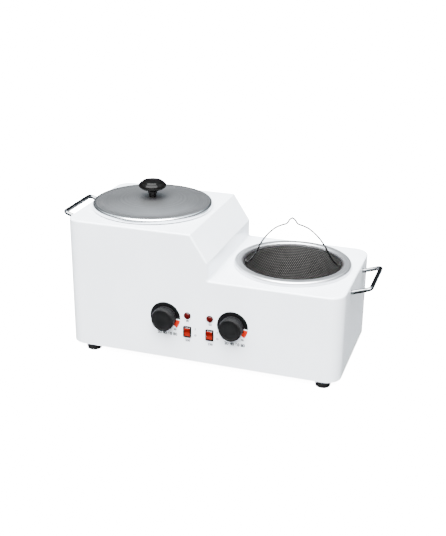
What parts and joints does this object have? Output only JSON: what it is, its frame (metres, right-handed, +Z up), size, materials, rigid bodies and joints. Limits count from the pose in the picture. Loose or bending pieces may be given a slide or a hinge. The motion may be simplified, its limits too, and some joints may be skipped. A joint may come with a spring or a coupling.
{
  "type": "wax warmer",
  "caption": "Free-standing wax warmer: stepped white case, lift-out pots, domed lid, strainer basket with wire bail, thermostat knobs, rocker switches and side handles.",
  "frame": {"origin": "centre of the object's box in plan, on the ground plane under the feet", "axes": "+Z up, the control panel faces -Y, the tall side with the lidded pot is at -X and the low side at +X"},
  "size_m": [0.5866, 0.2748, 0.3033],
  "materials": {
    "white_enamel": "smooth white powder coat, satin gloss",
    "zinc_sheet": "plain zinc-coated sheet",
    "black_rubber": "matt moulded rubber",
    "steel": "plain bright steel",
    "chrome": "bright chrome plate",
    "spun_aluminium": "spun and satin polished, with circular marks",
    "mica_band": "heater band jacket",
    "mineral_wool": "matt insulation felt",
    "copper": "drawn copper tube",
    "dark_mesh": "finely perforated dark steel",
    "black_plastic": "moulded black plastic",
    "red_lens": "dark red translucent lens",
    "red_rocker": "red translucent rocker",
    "brass": "turned brass",
    "ceramic": "unglazed white ceramic"
  },
  "bodies": {
    "case": {"housing_shell": "white_enamel", "base_plate": "zinc_sheet", "front_left_foot": "black_rubber", "front_right_foot": "black_rubber", "rear_left_foot": "black_rubber", "rear_right_foot": "black_rubber", "front_left_foot_screw": "steel", "front_right_foot_screw": "steel", "rear_left_foot_screw": "steel", "rear_right_foot_screw": "steel", "left_well": "zinc_sheet", "right_well": "zinc_sheet", "left_band_heater": "mica_band", "right_band_heater": "mica_band", "left_band_screw": "steel", "right_band_screw": "steel", "left_insulation": "mineral_wool", "right_insulation": "mineral_wool", "left_sensor_bulb": "copper", "right_sensor_bulb": "copper", "left_thermal_cutout": "ceramic", "right_thermal_cutout": "ceramic", "left_side_handle": "chrome", "right_side_handle": "chrome", "left_side_handle_screw_left": "steel", "left_side_handle_screw_right": "steel", "right_side_handle_screw_left": "steel", "right_side_handle_screw_right": "steel", "left_thermostat_body": "ceramic", "right_thermostat_body": "ceramic", "left_indicator_lens": "red_lens", "right_indicator_lens": "red_lens", "left_indicator_body": "black_plastic", "right_indicator_body": "black_plastic", "left_switch_housing": "black_plastic", "right_switch_housing": "black_plastic", "power_inlet": "black_plastic", "inlet_pin_line": "brass", "inlet_pin_neutral": "brass", "inlet_pin_earth": "brass", "inlet_screw_left": "steel", "inlet_screw_right": "steel", "terminal_block": "ceramic", "earth_stud": "brass"},
    "left_pot": {"left_pot": "spun_aluminium"},
    "lid": {"lid": "spun_aluminium", "lid_knob": "black_plastic", "lid_knob_screw": "steel"},
    "right_pot": {"right_pot": "spun_aluminium"},
    "basket": {"strainer_basket": "dark_mesh", "bail_ear_left": "steel", "bail_ear_right": "steel"},
    "bail": {"bail_handle": "steel"},
    "left_knob": {"left_control_knob": "black_plastic", "left_thermostat_shaft": "brass"},
    "right_knob": {"right_control_knob": "black_plastic", "right_thermostat_shaft": "brass"},
    "left_rocker": {"left_rocker": "red_rocker"},
    "right_rocker": {"right_rocker": "red_rocker"}
  },
  "joints": [
    {"name": "left_pot_lift", "type": "slide", "parent": "case", "child": "left_pot", "axis": [0, 0, 1], "range_m": [0, 0.2]},
    {"name": "lid_lift", "type": "slide", "parent": "left_pot", "child": "lid", "axis": [0, 0, 1], "range_m": [0, 0.12]},
    {"name": "right_pot_lift", "type": "slide", "parent": "case", "child": "right_pot", "axis": [0, 0, 1], "range_m": [0, 0.14]},
    {"name": "basket_lift", "type": "slide", "parent": "right_pot", "child": "basket", "axis": [0, 0, 1], "range_m": [0, 0.14]},
    {"name": "bail_swing", "type": "hinge", "parent": "basket", "child": "bail", "pos_m": [0.136, 0.00655, 0.1755], "axis": [0.9744, 0.225, 0], "range_deg": [-80, 80]},
    {"name": "left_knob_turn", "type": "hinge", "parent": "case", "child": "left_knob", "pos_m": [-0.063, -0.12945, 0.093], "axis": [0, 1, 0], "range_deg": [0, 270]},
    {"name": "right_knob_turn", "type": "hinge", "parent": "case", "child": "right_knob", "pos_m": [0.063, -0.12945, 0.093], "axis": [0, 1, 0], "range_deg": [0, 270]},
    {"name": "left_rocker_tip", "type": "hinge", "parent": "case", "child": "left_rocker", "pos_m": [-0.021, -0.11775, 0.0705], "axis": [-1, 0, 0], "range_deg": [0, 18]},
    {"name": "right_rocker_tip", "type": "hinge", "parent": "case", "child": "right_rocker", "pos_m": [0.021, -0.11775, 0.0705], "axis": [-1, 0, 0], "range_deg": [0, 18]}
  ]
}
